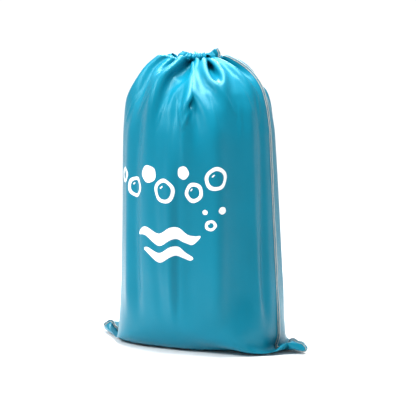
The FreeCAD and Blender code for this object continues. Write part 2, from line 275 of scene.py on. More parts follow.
def bag_cloth():
    """Thin satin-faced polyester: a fine weave, uneven yarns and faint packing creases."""
    paint = Paint("bag_cloth", Specular_IOR_Level=0.34, Specular_Tint=(0.40, 0.92, 1.0, 1))
    flat = paint.coordinates("UV")
    patches = paint.noise(flat, 7.0, 1.5)
    yarns = paint.noise(paint.coordinates("UV", (60, 900, 1)), 1.0, 2.0)
    mixed = paint.math("ADD", paint.math("MULTIPLY", patches, 0.75), paint.math("MULTIPLY", yarns, 0.25))
    colour = paint.ramp(mixed, ((0.20, shade(TEAL, 0.90)), (0.50, TEAL), (0.80, shade(TEAL, 1.10))))
    roughness = paint.range(patches, 0.285, 0.335)
    warp = paint.wave(flat, WEAVE_SCALE, "X")
    weft = paint.wave(flat, WEAVE_SCALE, "Y")
    weave = paint.math("MULTIPLY", warp, weft)
    slub = paint.noise(paint.coordinates("UV", (30, 240, 1)), 1.0, 3.0)
    soft = paint.noise(flat, 22.0, 1.0)
    return paint.finish(colour, roughness, (soft, 0.0006), (slub, 0.00008), (weave, 0.00006))


def seam_thread():
    """Twisted polyester thread."""
    paint = Paint("seam_thread", Sheen_Weight=0.3)
    place = paint.coordinates("Object")
    worn = paint.noise(place, 60.0)
    colour = paint.ramp(worn, ((0.3, shade(THREAD, 0.78)), (0.6, THREAD), (0.8, shade(THREAD, 1.15))))
    twist = paint.wave(paint.coordinates("Object", (1, 1, 1), 0.7), 900.0, "DIAGONAL")
    return paint.finish(colour, 0.6, (twist, 0.0001))


def print_film():
    """Screen-printed white, a little cracked and thin in places."""
    paint = Paint("print_film", Specular_IOR_Level=0.45)
    flat = paint.coordinates("UV")
    thin = paint.noise(flat, 55.0, 5.0)
    colour = paint.ramp(thin, ((0.30, shade(PRINT, 0.84)), (0.45, PRINT), (0.7, shade(PRINT, 1.05))))
    cracks = paint.node("TexVoronoi", Vector=flat, Scale=320.0)
    cracks.feature = "DISTANCE_TO_EDGE"
    ridge = paint.range(cracks.outputs["Distance"], 0.0, 1.0)
    weave = paint.wave(flat, WEAVE_SCALE, "Y")
    return paint.finish(colour, paint.range(thin, 0.42, 0.6), (ridge, 0.00008), (weave, 0.00003))


def black_cord():
    """Braided polyester cord, a little dusty on its high strands."""
    paint = Paint("black_cord", Sheen_Weight=0.10, Specular_IOR_Level=0.30)
    place = paint.coordinates("Object")
    dust = paint.noise(place, 130.0, 4.0)
    colour = paint.ramp(dust, ((0.35, BLACK), (0.65, shade(BLACK, 1.5)), (0.85, shade(BLACK, 2.4))))
    strands = paint.node("TexVoronoi", Vector=place, Scale=900.0)
    fibre = paint.noise(place, 2200.0, 2.0)
    return paint.finish(colour, 0.72, (strands.outputs["Distance"], 0.00018), (fibre, 0.00004))


def lock_plastic(name, gain, rough):
    """Moulded black acetal with a fine spark-eroded grain."""
    paint = Paint(name, Specular_IOR_Level=0.38)
    place = paint.coordinates("Object")
    grain = paint.noise(place, 2600.0, 3.0)
    wear = paint.noise(place, 90.0, 4.0)
    base = (0.010 * gain, 0.010 * gain, 0.011 * gain)
    colour = paint.ramp(wear, ((0.35, base), (0.7, shade(base, 1.5))))
    return paint.finish(colour, paint.range(wear, rough, rough + 0.16), (grain, 0.00006))


def spring_steel():
    """Drawn wire with fine lengthwise marks."""
    paint = Paint("spring_steel", Metallic=1.0)
    place = paint.coordinates("Object")
    marks = paint.noise(place, 1500.0, 3.0)
    colour = paint.ramp(marks, ((0.3, (0.42, 0.42, 0.43)), (0.7, (0.60, 0.60, 0.61))))
    return paint.finish(colour, paint.range(marks, 0.24, 0.4), (marks, 0.00002))


# ---- mesh helpers

def new_object(name, points, faces, material, uv=None):
    """A smooth mesh object; uv gives one pair for each point."""
    data = bpy.data.meshes.new(name)
    data.from_pydata([tuple(p) for p in points], [], faces)
    if uv is not None:
        layer = data.uv_layers.new(name="pattern")
        corners = np.empty(len(data.loops), dtype=np.int32)
        data.loops.foreach_get("vertex_index", corners)
        layer.data.foreach_set("uv", np.asarray(uv, dtype=np.float32)[corners].ravel())
    data.polygons.foreach_set("use_smooth", np.ones(len(data.polygons), dtype=bool))
    data.materials.append(material)
    data.update()
    return link(name, data)


def grid_faces(rows, columns, keep=None):
    """Quads of a grid of points, row by row; keep says which of them stay."""
    faces = []
    for i in range(rows - 1):
        for j in range(columns - 1):
            if keep is None or keep[i, j]:
                a = i * columns + j
                faces.append((a, a + 1, a + columns + 1, a + columns))
    return faces


def tangents(line):
    return unit(np.gradient(line, axis=0))


def ring_faces(count, sides, closed_ends=True):
    """Faces of a tube of so many rings, each of so many points."""
    faces = []
    for i in range(count - 1):
        for k in range(sides):
            a, b = i * sides + k, i * sides + (k + 1) % sides
            faces.append((a, b, b + sides, a + sides))
    if closed_ends:
        faces.append(tuple(reversed(range(sides))))
        faces.append(tuple((count - 1) * sides + k for k in range(sides)))
    return faces


def tube(line, radius, sides, closed_ends=True, relief=None):
    """Points and faces of a tube along a line; radius may change along it, relief round it."""
    count = len(line)
    along = tangents(line)
    radius = np.broadcast_to(radius, (count,))
    lift = np.array([0.0, 0.0, 1.0]) if abs(along[0, 2]) < 0.9 else np.array([1.0, 0.0, 0.0])
    side = np.cross(lift, along[0])
    points = []
    for i in range(count):
        side = side - along[i] * side.dot(along[i])
        side = side / np.linalg.norm(side)
        other = np.cross(along[i], side)
        for k in range(sides):
            turn = 2 * math.pi * k / sides
            reach = radius[i] + (0.0 if relief is None else relief(i, turn))
            points.append(line[i] + reach * (math.cos(turn) * side + math.sin(turn) * other))
    return points, ring_faces(count, sides, closed_ends)


class Pile:
    """Many small meshes gathered into one object."""

    def __init__(self):
        self.points, self.faces = [], []

    def add(self, points, faces):
        start = len(self.points)
        self.points.extend(points)
        self.faces.extend(tuple(start + k for k in face) for face in faces)

    def made(self, name, material):
        return new_object(name, self.points, self.faces, material)


def lengths_along(line):
    return np.concatenate([[0], np.cumsum(np.linalg.norm(np.diff(line, axis=0), axis=1))])


def read_at(at, lengths, values):
    """Three-part values between those that are known at the given lengths."""
    return np.stack([np.interp(at, lengths, values[:, k]) for k in range(3)], 1)


def resample(line, step):
    """The same line with points a step apart."""
    lengths = lengths_along(line)
    count = max(2, int(round(lengths[-1] / step)) + 1)
    return read_at(np.linspace(0, lengths[-1], count), lengths, line)


# ---- the laundry inside

FILL_HALF_WIDTH = 0.197
FILL_HALF_DEPTH = 0.180
# height, share of the half width, share of the half depth
FILL = np.array([
    (0.000, 0.90, 0.54), (0.010, 0.93, 0.64), (0.030, 0.965, 0.75), (0.065, 0.99, 0.86), (0.120, 1.0, 0.95),
    (0.200, 1.0, 1.0), (0.300, 0.995, 1.0), (0.450, 0.985, 0.995), (0.540, 0.965, 0.96), (0.595, 0.915, 0.87),
    (0.635, 0.83, 0.75), (0.665, 0.70, 0.60), (0.690, 0.50, 0.42), (0.702, 0.30, 0.27)])
SQUARENESS = 2.12
# upright ridges and hollows of the laundry: degrees from the front, width in degrees, share of the radius
RIDGES = (
    (34, 7, 0.030), (20, 5, -0.030), (81, 4.5, -0.034), (-84, 5, -0.024), (-6, 8, 0.016),
    (-30, 6, -0.026), (56, 6, -0.016), (-58, 8, 0.010), (118, 7, -0.020), (-112, 7, -0.020),
    (148, 8, -0.012), (-146, 8, -0.014))
HUMP = (-38, 24)            # the puffed shoulder at the front left: degrees from the front, and its width


def near_tails(turn):
    """1 at the middle of the back, where the tails hang."""
    return bell(np.abs(turn), 180, 26)


def lumps(x, y, z):
    """How uneven the laundry is, as a share of its radius."""
    turn = azimuth(x, y)
    body = smooth(z, 0.08, 0.2) * (1 - smooth(z, 0.56, 0.66))
    ridge = 0.0
    for at, wide, share in RIDGES:
        ridge = ridge + share * bell(turn, at, wide)
    return (ridge * body - 0.012 * near_tails(turn)
            + 0.008 * np.sin(9.1 * x + 7.3 * z + 0.4) * np.cos(6.0 * y - 8.2 * z + 1.1)
            + 0.007 * np.sin(15.0 * x - 11.0 * y + 13.0 * z + 2.2)
            + 0.005 * np.cos(27.0 * z + 14.0 * x + 0.3) * np.sin(22.0 * y + 9.0 * x))


def puff(turn, radius):
    """How far the cloth is puffed up beside the mouth: a hump at the front left, a peak at the right seam."""
    return (0.026 * bell(turn, *HUMP) + 0.016 * bell(turn, 90, 13)) * smooth(radius, 0.035, 0.060)


def inside_laundry(points):
    """Which points are inside, and how far out they are as a share of the laundry's radius there."""
    x, y, z = parts(points)
    z = z - puff(azimuth(x, y), np.hypot(x, y)) * smooth(z, 0.64, 0.70)
    half_width = FILL_HALF_WIDTH * np.interp(z, FILL[:, 0], FILL[:, 1], right=0.0)
    half_depth = FILL_HALF_DEPTH * np.interp(z, FILL[:, 0], FILL[:, 2], right=0.0)
    half_width = half_width * np.where(x < 0, 1 - 0.07 * smooth(z, 0.56, 0.69), 1.0)
    live = (half_width > 0) & (z > -0.01)
    half_width = np.where(live, half_width, 1.0)
    half_depth = np.where(live, half_depth, 1.0)
    share = np.abs(x / half_width) ** SQUARENESS + np.abs(y / half_depth) ** SQUARENESS
    share = share ** (1 / SQUARENESS) / (1 + lumps(x, y, z))
    return live & (share < 1) & (share > 1e-3), share


# ---- the gathers at the casing's stitching

# the tucks between the big pleats: degrees from the front, how far down the cloth each runs, how deep it is
TUCKS = (
    (-180, 0.110, 0.024), (-152, 0.060, 0.030), (-122, 0.105, 0.036), (-96, 0.050, 0.030),
    (-68, 0.075, 0.034), (-30, 0.045, 0.034), (0, 0.090, 0.040), (20, 0.135, 0.040), (36, 0.030, 0.024),
    (52, 0.088, 0.040), (66, 0.032, 0.026), (80, 0.120, 0.036), (104, 0.055, 0.030), (130, 0.115, 0.036),
    (156, 0.060, 0.030))
BIG_PLEATS = len(TUCKS)
BACK_SHARE = 0.75           # the columns' share from the left side seam to the middle of the back


def gathers(columns):
    """For each column: its big pleat, how far across that it is, its radius and its angle."""
    chance = np.random.default_rng(3)
    turn = np.diff(np.array([tuck[0] for tuck in TUCKS] + [180], float)) / 360
    width = (0.5 * turn + 0.5 / BIG_PLEATS) * chance.uniform(0.9, 1.1, BIG_PLEATS)
    width /= width.sum()
    edge_turn = np.concatenate([[0], np.cumsum(turn)])
    edge = np.concatenate([[0], np.cumsum(width)])
    quarters = np.interp([0.25, 0.5, 0.75], edge_turn, edge)
    edge = np.interp(edge, [0, *quarters, 1], [0, 0.25, 0.5, 0.75, 1])
    width = np.diff(edge)
    at = (np.arange(columns) / columns - BACK_SHARE) % 1.0
    pleat = np.clip(np.searchsorted(edge, at, side="right") - 1, 0, BIG_PLEATS - 1)
    across = (at - edge[pleat]) / width[pleat]
    half_cloth = AROUND * width[pleat] / 2
    half_gap = GATHER_RADIUS * math.pi * turn[pleat]
    depth = np.sqrt(np.maximum(half_cloth ** 2 - half_gap ** 2, 0))
    rise = 1 - np.abs(2 * across - 1)
    rise = 0.55 * rise + 0.45 * (0.5 - 0.5 * np.cos(math.pi * rise))
    angle = math.pi / 2 + 2 * math.pi * (edge_turn[pleat] + turn[pleat] * across)
    return pleat, across, VALLEY_RADIUS + depth * rise, angle


def tuck_depths(columns, rows):
    """How far in each point of the cloth is tucked: a fold below each valley, with a rounded lower end."""
    pleat = gathers(columns)[0]
    starts = [float(np.argmax((pleat == k))) if k else columns * BACK_SHARE for k in range(BIG_PLEATS)]
    column = np.arange(columns)
    down = BODY_HEIGHT * (1 - np.arange(rows) / (rows - 1))
    depths = np.zeros((rows, columns))
    for start, (_, length, depth) in zip(starts, TUCKS):
        away = np.abs((column - start + columns / 2) % columns - columns / 2) * AROUND / columns
        here = depth * np.sqrt(np.clip(1 - (down / length) ** 2, 0, 1))
        depths = np.maximum(depths, here[:, None] - away[None, :])
    return depths


# ---- the cloth

# outside of the drawn-in shoulders: height, half width, half depth
SHOULDERS = np.array([
    (0.56, 0.192, 0.182), (0.60, 0.183, 0.168), (0.63, 0.171, 0.154), (0.66, 0.153, 0.133),
    (0.68, 0.138, 0.118), (0.70, 0.113, 0.097), (0.712, 0.085, 0.076), (0.724, 0.070, 0.062)])

STRAND_START = (0.046, 0.720)       # y and z where the drawcord leaves the casing
STRAND_SLOPE = math.radians(30)
# y and z down the hanging tails, for the cloth to keep clear of
TAIL_LINE = np.array([
    (0.1343, 0.669), (0.163, 0.628), (0.1815, 0.577), (0.1885, 0.521), (0.1892, 0.464),
    (0.191, 0.350), (0.1914, 0.240), (0.1935, 0.150), (0.1935, 0.118)])
BACK_LIMIT = 0.1905
FLOOR_GAP = 0.0026
EAR_TIPS = ((-0.285, 0.020), (0.286, -0.020))    # how far the bottom corners reach, and how far back

# the tube of cloth that the solver starts from
START_HALF_WIDTH = 0.212
START_HALF_DEPTH = 0.158
START_HALF_GAP = 0.004      # between the two panels at the bottom seam
START_LYING = 0.13          # this much of the cloth's height lies on the floor
START_STAR = 0.70           # from here up the cloth draws in to its pleats
START_STAR_Z = 0.574        # where that is over the floor

SWELL = 2.5                 # the laundry's push, as an acceleration
WEIGHT = 1.0
DAMPING = 0.98
TOP_SPEED = 2.0
# columns, rows, steps and seconds a step of each pass, from a coarse grid to a fine one
PASSES = ((80, 58, 900, 0.004), (160, 116, 700, 0.003), (248, 180, 320, 0.002))


def pattern_heights(rows):
    """Each row's height on the pattern, from the bottom seam."""
    return BODY_HEIGHT * np.arange(rows)[:, None] / (rows - 1)


def from_side_seams(columns):
    """Each column's distance from the nearer side seam."""
    column = np.arange(columns)
    nearer = np.minimum(column, np.abs(column - columns // 2))
    return np.minimum(nearer, columns - column) * (AROUND / columns)


def ear_middle(x):
    """Where the middle plane of the flat bottom corners runs."""
    left, right = EAR_TIPS[0][1], EAR_TIPS[1][1]
    return np.where(x < 0, left * smooth(-x, 0.20, 0.30), right * smooth(x, 0.2, 0.3))


def first_shape(columns, rows):
    """A tube of cloth round the laundry, flat at the bottom seam and pleated at the top."""
    across = np.arange(columns) / columns
    front = across < 0.5
    flat_x = np.where(front, across, 1 - across) * AROUND - FLAT_WIDTH / 2
    flat_y = np.where(front, -START_HALF_GAP, START_HALF_GAP)
    turn = math.pi + 2 * math.pi * across
    round_xy = np.stack([START_HALF_WIDTH * np.cos(turn), START_HALF_DEPTH * np.sin(turn)], -1)
    line_xy = np.stack([flat_x, flat_y], -1)
    star_xy = points_round(*gathers(columns)[2:])
    points = np.zeros((rows, columns, 3))
    for i in range(rows):
        height = BODY_HEIGHT * i / (rows - 1)
        blend = float(smooth(np.array(height), 0.0, 0.20))
        xy = (1 - blend) * line_xy + blend * round_xy
        z = START_HALF_GAP + max(0.0, height - START_LYING)
        if height > START_STAR:
            up = (height - START_STAR) / (BODY_HEIGHT - START_STAR)
            blend = up * up * (3 - 2 * up)
            xy = (1 - blend) * xy + blend * star_xy
            z = START_STAR_Z + (STITCH_Z - START_STAR_Z) * math.sin(up * math.pi / 2)
        points[i, :, :2] = xy
        points[i, :, 2] = z
    return points


def pull(a, b, free_a, free_b, rest, stiff, only_apart=False):
    """Moves two sets of points towards their rest distance."""
    gap = b - a
    length = np.sqrt((gap * gap).sum(-1)) + TINY
    error = length - rest
    if only_apart:
        error = np.minimum(error, 0)
    share = free_a + free_b
    move = np.where(share > 0, stiff * error / length / np.maximum(share, 1e-9), 0)[..., None] * gap
    a += free_a[..., None] * move
    b -= free_b[..., None] * move


class Cloth:
    """The bag's body as a grid of points: rows climb from the bottom seam to the casing's stitching,
    columns go round from the left side seam, the front first."""

    def __init__(self, points):
        self.points = points.copy()
        self.speed = np.zeros_like(points)
        self.rows, self.columns = points.shape[:2]
        self.across = AROUND / self.columns
        self.up = BODY_HEIGHT / (self.rows - 1)
        self.free = np.ones((self.rows, self.columns))
        self.free[-1] = 0
        self.pins = points[-1].copy()
        column = np.arange(self.columns)
        half = self.columns // 2
        self.mirror = (-column) % self.columns
        self.front = (column > 0) & (column < half)
        self.back = column > half
        # the side seams' thread draws them in, above the flat corners
        beside_seam = bell(from_side_seams(self.columns), 0, 0.008)
        self.draw = 1 - 0.024 * beside_seam * smooth(pattern_heights(self.rows), 0.20, 0.30)
        self.tucked = tuck_depths(self.columns, self.rows)

    def pairs_across(self, start, step, rest, stiff, only_apart=False):
        """Points a few columns apart, in one of the two sets that share no point."""
        column = np.arange(self.columns)
        if step == 1:
            first = column[start::2]
        else:
            first = column[(column // step) % 2 == start]
        second = (first + step) % self.columns
        a, b = self.points[:, first], self.points[:, second]
        pull(a, b, self.free[:, first], self.free[:, second], rest, stiff, only_apart)
        self.points[:, first], self.points[:, second] = a, b

    def pairs_up(self, start, step, rest, stiff, only_apart=False):
        row = np.arange(self.rows - step)
        first = row[(row // step) % 2 == start]
        rest = rest[first]
        a, b = self.points[first], self.points[first + step]
        pull(a, b, self.free[first], self.free[first + step], rest, stiff, only_apart)
        self.points[first], self.points[first + step] = a, b

    def pairs_aslant(self, start, lean, stiff):
        diagonal = math.hypot(self.across, self.up)
        first = np.arange(start, self.rows - 1, 2)
        a = self.points[first].copy()
        b = np.roll(self.points[first + 1], -lean, 1)
        pull(a, b, self.free[first], np.roll(self.free[first + 1], -lean, 1), diagonal, stiff)
        self.points[first] = a
        self.points[first + 1] = np.roll(b, lean, 1)

    def hold_together(self, shear=0.25, bend=0.12):
        for start in (0, 1):
            self.pairs_across(start, 1, self.across, 1.0)
        for start in (0, 1):
            self.pairs_up(start, 1, self.up * self.draw, 1.0)
        for start in (0, 1):
            for lean in (1, -1):
                self.pairs_aslant(start, lean, shear)
        for start in (0, 1):
            self.pairs_across(start, 2, 1.99 * self.across, bend, True)
            self.pairs_across(start, 4, 3.90 * self.across, bend, True)
        for start in (0, 1):
            self.pairs_up(start, 2, 1.99 * self.up * self.draw, bend, True)
        self.points[0] = 0.5 * (self.points[0] + self.points[0][self.mirror])

    def outward(self):
        across = np.roll(self.points, -1, 1) - np.roll(self.points, 1, 1)
        return unit(np.cross(across, np.gradient(self.points, axis=0)))

    def step(self, time):
        before = self.points.copy()
        x, z = self.points[..., 0], self.points[..., 2]
        press = SWELL * (1 - smooth(np.abs(x), 0.205, 0.235) * (z < 0.14)) * smooth(z, 0.0, 0.05)
        press = press * (0.15 + 0.85 * smooth(z, 0.56, 0.66))
        push = self.outward() * press[..., None]
        push[..., 2] -= WEIGHT
        self.speed += time * push * (self.free > 0)[..., None]
        self.speed *= DAMPING
        self.points += time * self.speed
        self.points[-1] = self.pins
        self.hold_together()
        self.hold_together()
        self.touch(before)
        self.speed = (self.points - before) / time
        fast = np.linalg.norm(self.speed, axis=-1, keepdims=True)
        self.speed *= np.minimum(1, TOP_SPEED / np.maximum(fast, 1e-9))

    def touch(self, before):
        """The laundry, the floor, the bag's own corners and the cord keep the cloth where it can be."""
        points, moves = self.points, (self.free > 0)
        self.tuck_in(moves)
        hit, share = inside_laundry(points)
        reach = np.maximum(np.hypot(points[..., 0], points[..., 1]), 0.02)
        share = reach / np.maximum(reach / np.maximum(share, 1e-3) - self.tucked, 0.02)
        hit = hit & (share < 1)
        under = hit & (points[..., 2] < 0.10) & (points[..., 2] < (1 - share) * reach)
        grow = np.where(hit & ~under, 1 / np.maximum(share, 0.3), 1.0)
        out = points[..., :2] * (grow - 1)[..., None]
        far = np.linalg.norm(out, axis=-1, keepdims=True)
        out *= np.minimum(1, 0.01 / np.maximum(far, 1e-9))
        points[..., :2] += out * moves[..., None]
        z = points[..., 2]
        z[:] = np.where(under, np.maximum(FLOOR_GAP, z - 0.01), z)
        rubbing = hit | (z < FLOOR_GAP + 0.0002)
        points -= np.where(rubbing, 0.05, 0)[..., None] * (points - before) * moves[..., None]
        z[:] = np.maximum(z, FLOOR_GAP)
        self.keep_corners()
        self.keep_clear_of_cord(moves)

    def tuck_in(self, moves):
        """Draws the folds in from the outside of the shoulders."""
        x, y, z = parts(self.points)
        radius = np.hypot(x, y) + 1e-9
        level = z - puff(azimuth(x, y), radius)
        half_width = np.interp(level, SHOULDERS[:, 0], SHOULDERS[:, 1])
        half_depth = np.interp(level, SHOULDERS[:, 0], SHOULDERS[:, 2])
        shoulder = 1 / np.sqrt((x / radius / half_width) ** 2 + (y / radius / half_depth) ** 2)
        over = np.where(moves & (self.tucked > 0.001), radius - (shoulder - self.tucked), 0)
        inward = np.clip(over, 0, 0.002) / radius
        self.points[..., :2] -= self.points[..., :2] * inward[..., None]

    def keep_corners(self):
        """At the flat bottom corners the two panels lie on each other, and the sewn tips keep their reach."""
        points = self.points
        x, y, z = parts(points)
        corner = (np.abs(x) > 0.17) & (z < 0.16)
        corner[0] = False
        middle = ear_middle(x)
        front = corner & self.front[None, :]
        back = corner & self.back[None, :]
        y[front] = np.minimum(y, middle - 0.0008)[front]
        y[back] = np.maximum(y, middle + 0.0008)[back]
        y[0] += 0.1 * (middle[0] - y[0])
        for column, (reach, back_by) in zip((0, self.columns // 2), EAR_TIPS):
            points[0, column, 0] += 0.5 * (reach - points[0, column, 0])
            points[0, column, 1] += 0.2 * (back_by - points[0, column, 1])
        lift = 0.005 * smooth(np.abs(x), 0.20, 0.285) * (z < 0.05)
        z[:] = np.maximum(z, FLOOR_GAP + lift)
        z[0] -= 0.15 * np.maximum(z[0] - (FLOOR_GAP + 0.001 + lift[0]), 0)

    def keep_clear_of_cord(self, moves):
        """The lock's track presses a hollow behind the mouth, and the tails hang close to the back."""
        points = self.points
        x, y, z = parts(points)
        cos, sin = math.cos(STRAND_SLOPE), math.sin(STRAND_SLOPE)
        along = (y - STRAND_START[0]) * cos - (z - STRAND_START[1]) * sin
        above = (y - STRAND_START[0]) * sin + (z - STRAND_START[1]) * cos
        floor = -0.0120 + 0.9 * np.maximum(np.abs(x) - 0.018, 0)
        on = moves & (y > 0.03) & (along > 0.02) & (along < 0.105) & (above > floor) & (np.abs(x) < 0.05)
        push = np.where(on, np.minimum(above - floor, 0.004), 0)
        y -= push * sin
        z -= push * cos
        limit = np.interp(z, TAIL_LINE[::-1, 1], TAIL_LINE[::-1, 0] - 0.0045)
        limit = limit + 0.35 * np.maximum(np.abs(x) - 0.026, 0)
        on = moves & (y > 0.06) & (z < 0.669) & (z > 0.115) & (y > limit) & (np.abs(x) < 0.07)
        y[:] = np.where(on, y - np.minimum(y - limit, 0.004), y)
        on = moves & (y > BACK_LIMIT) & (z < 0.6)
        y[:] = np.where(on, y - np.minimum(y - BACK_LIMIT, 0.002), y)

    def keep_order(self, gap=0.0003):
        """No column overtakes the next one round the bag."""
        part = self.points[-int(self.rows * 0.97):-1]
        angle = np.unwrap(np.arctan2(part[..., 1], part[..., 0]), axis=1)
        radius = np.hypot(part[..., 0], part[..., 1])
        for start in (0, 1, 0, 1):
            first = np.arange(start, self.columns, 2)
            second = (first + 1) % self.columns
            step = angle[:, second] + np.where(second == 0, 2 * math.pi, 0.0) - angle[:, first]
            least = gap / np.maximum(0.5 * (radius[:, first] + radius[:, second]), 0.01)
            short = np.minimum(step - least, 0) * 0.5
            angle[:, first] += short
            angle[:, second] -= short
        part[..., 0] = radius * np.cos(angle)
        part[..., 1] = radius * np.sin(angle)


def denser(points, columns, rows):
    """The same cloth with more points, for the next pass."""
    old_rows, old_columns = points.shape[:2]
    at = np.linspace(0, old_rows - 1, rows)
    i = np.minimum(at.astype(int), old_rows - 2)
    part = (at - i)[:, None, None]
    points = points[i] * (1 - part) + points[i + 1] * part
    at = np.arange(columns) * old_columns / columns
    j = at.astype(int)
    part = (at - j)[None, :, None]
    points = points[:, j % old_columns] * (1 - part) + points[:, (j + 1) % old_columns] * part
    points[-1] = points_round(*gathers(columns)[2:], np.full(columns, STITCH_Z))
    return points


def settle():
    """The cloth pulled on, filled, stood up and drawn shut."""
    passes = PASSES
    points = None
    for columns, rows, steps, time in passes:
        points = first_shape(columns, rows) if points is None else denser(points, columns, rows)
        cloth = Cloth(points)
        for count in range(steps):
            cloth.step(time)
            if count % 2 == 0:
                cloth.keep_order()
        points = cloth.points
    return points


# ---- panels on a fine grid

# soft upright folds of the body: degrees from the front, width in degrees, how far they stand out
FOLDS = (
    (38, 6.5, 0.0085), (58, 10.0, -0.0065), (20, 9.0, -0.0060), (9, 3.5, -0.0036), (2, 3.5, 0.0026),
    (-8, 5.0, -0.0024), (-30, 5.0, -0.0046), (-43, 5.0, 0.0036), (-60, 6.0, -0.0016), (70, 3.5, 0.0034),
    (78, 3.5, -0.0050), (-82, 4.0, -0.0030), (104, 5.0, 0.0024), (118, 5.0, -0.0034), (138, 6.0, 0.0024),
    (-112, 6.0, -0.0034), (-132, 6.0, 0.0024))
# sharp creases that run on from the tucks: both ends, each as degrees from the front and a height, and how
# far they stand out
CREASES = (
    ((4, 0.640), (13.5, 0.553), 0.0034), ((21, 0.606), (13.5, 0.553), 0.0036),
    ((47, 0.645), (57, 0.585), 0.0026), ((-20, 0.645), (-34, 0.585), 0.0026),
    ((13.5, 0.553), (15, 0.470), 0.0016), ((61, 0.610), (60, 0.520), 0.0018),
    ((-44, 0.635), (-52, 0.560), 0.0022), ((84, 0.650), (80, 0.560), 0.0022),
    ((-96, 0.640), (-90, 0.575), 0.0020), ((36, 0.640), (40, 0.560), 0.0020),
    ((-6, 0.630), (-10, 0.560), 0.0018), ((69, 0.650), (72, 0.590), 0.0022))
BODY_RADIUS = 0.19


def crease(turn, z, start, end, high):
    """A ridge along a straight line on the opened-out surface."""
    (turn_a, z_a), (turn_b, z_b) = start, end
    round_by = math.radians(BODY_RADIUS)
    ax, az = (turn - turn_a) * round_by, z - z_a
    bx, bz = (turn_b - turn_a) * round_by, z_b - z_a
    part = np.clip((ax * bx + az * bz) / (bx * bx + bz * bz), 0, 1)
    away = np.hypot(ax - part * bx, az - part * bz)
    fade = np.sin(math.pi * np.clip(part * 0.96 + 0.02, 0, 1)) ** 0.5
    return high * fade * (bell(away, 0, 0.0050) - 0.45 * bell(away, 0, 0.013))


def finish_body(grid):
    """Takes the solver's small kinks out of the body, then lays soft folds and sharp creases on it."""
    height = pattern_heights(grid.shape[0])
    from_seam = from_side_seams(grid.shape[1])[None, :]
    calm = smooth(height, 0.02, 0.06) * (1 - smooth(height, 0.62, 0.76)) * smooth(from_seam, 0.004, 0.02)
    shoulders = smooth(height, 0.66, 0.76) * (1 - smooth(height, BODY_HEIGHT - 0.050, BODY_HEIGHT - 0.025))
    for turns, share in ((26, 0.6 * calm), (4, 0.45 * shoulders)):
        for _ in range(turns):
            around = 0.25 * (np.roll(grid, 1, 1) + np.roll(grid, -1, 1))
            around[1:-1] += 0.25 * (grid[2:] + grid[:-2])
            around[[0, -1]] = grid[[0, -1]]
            grid = grid + np.broadcast_to(share, grid.shape[:2])[..., None] * (around - grid)
    x, y, z = parts(grid)
    turn = azimuth(x, y)
    radius = np.hypot(x, y) + 1e-9
    body = smooth(z, 0.05, 0.16) * (1 - smooth(z, 0.54, 0.66)) * smooth(from_seam, 0.0, 0.02)
    body = body * (1 - near_tails(turn))
    swing = 1.25 + 0.35 * np.sin(6.0 * z + 1.0)
    out = np.zeros_like(x)
    for k, (at, wide, high) in enumerate(FOLDS):
        lean = 2.0 * np.sin(5.0 * z + 1.7 * k)
        out += high * bell(turn - lean, at, wide) * body * swing
    for start, end, high in CREASES:
        out += crease(turn, z, start, end, high)
    grid[..., 0] += x / radius * out
    grid[..., 1] += y / radius * out
    return grid


def curve_through(points, factor):
    """Points on the smooth curve through the first axis, factor times as many."""
    padded = np.concatenate([2 * points[:1] - points[1:2], points, 2 * points[-1:] - points[-2:-1]])
    a, b, c, d = padded[:-3], padded[1:-2], padded[2:-1], padded[3:]
    out = np.empty(((len(points) - 1) * factor + 1, *points.shape[1:]))
    for k in range(factor):
        t = k / factor
        out[k:-1:factor] = 0.5 * (2 * b + (c - a) * t + (2 * a - 5 * b + 4 * c - d) * t ** 2
                                  + (3 * b - a - 3 * c + d) * t ** 3)
    out[-1] = points[-1]
    return out


class Panel:
    """One panel of the bag: its body, and the casing's outer and inner walls above it, as one grid."""

    OUTER_ROWS = 14
    INNER_ROWS = 10

    def __init__(self, body, factor):
        """body is this panel's part of the cloth, from one side seam to the other."""
        fine = curve_through(body, factor)
        self.body = np.swapaxes(curve_through(np.swapaxes(fine, 0, 1), factor), 0, 1)
        self.rows, self.columns = self.body.shape[:2]

    def with_casing(self, outer, inner):
        self.points = np.concatenate([self.body, outer[1:], inner[1:]])
        heights = np.concatenate([
            np.linspace(0, BODY_HEIGHT, self.rows),
            np.linspace(BODY_HEIGHT, FLAT_HEIGHT, len(outer))[1:],
            np.linspace(FLAT_HEIGHT, FLAT_HEIGHT + CASING_DEPTH, len(inner))[1:]])
        widths = np.linspace(0, FLAT_WIDTH, self.columns)
        self.uv = np.stack(np.meshgrid(widths, heights), -1)
        self.fold_row = self.rows + len(outer) - 2

    def normals(self):
        return unit(np.cross(np.gradient(self.points, axis=1), np.gradient(self.points, axis=0)))

    def at(self, across, height):
        """Points and normals of the body where the pattern says, in metres from its left seam and bottom."""
        i = np.clip(height / BODY_HEIGHT * (self.rows - 1), 0, self.rows - 1.001)
        j = np.clip(across / FLAT_WIDTH * (self.columns - 1), 0, self.columns - 1.001)
        row, column = i.astype(int), j.astype(int)
        p, q = (i - row)[..., None], (j - column)[..., None]
        normal = self.normals()

        def mixed(grid):
            low = grid[row, column] * (1 - q) + grid[row, column + 1] * q
            high = grid[row + 1, column] * (1 - q) + grid[row + 1, column + 1] * q
            return low * (1 - p) + high * p
        return mixed(self.points), mixed(normal)


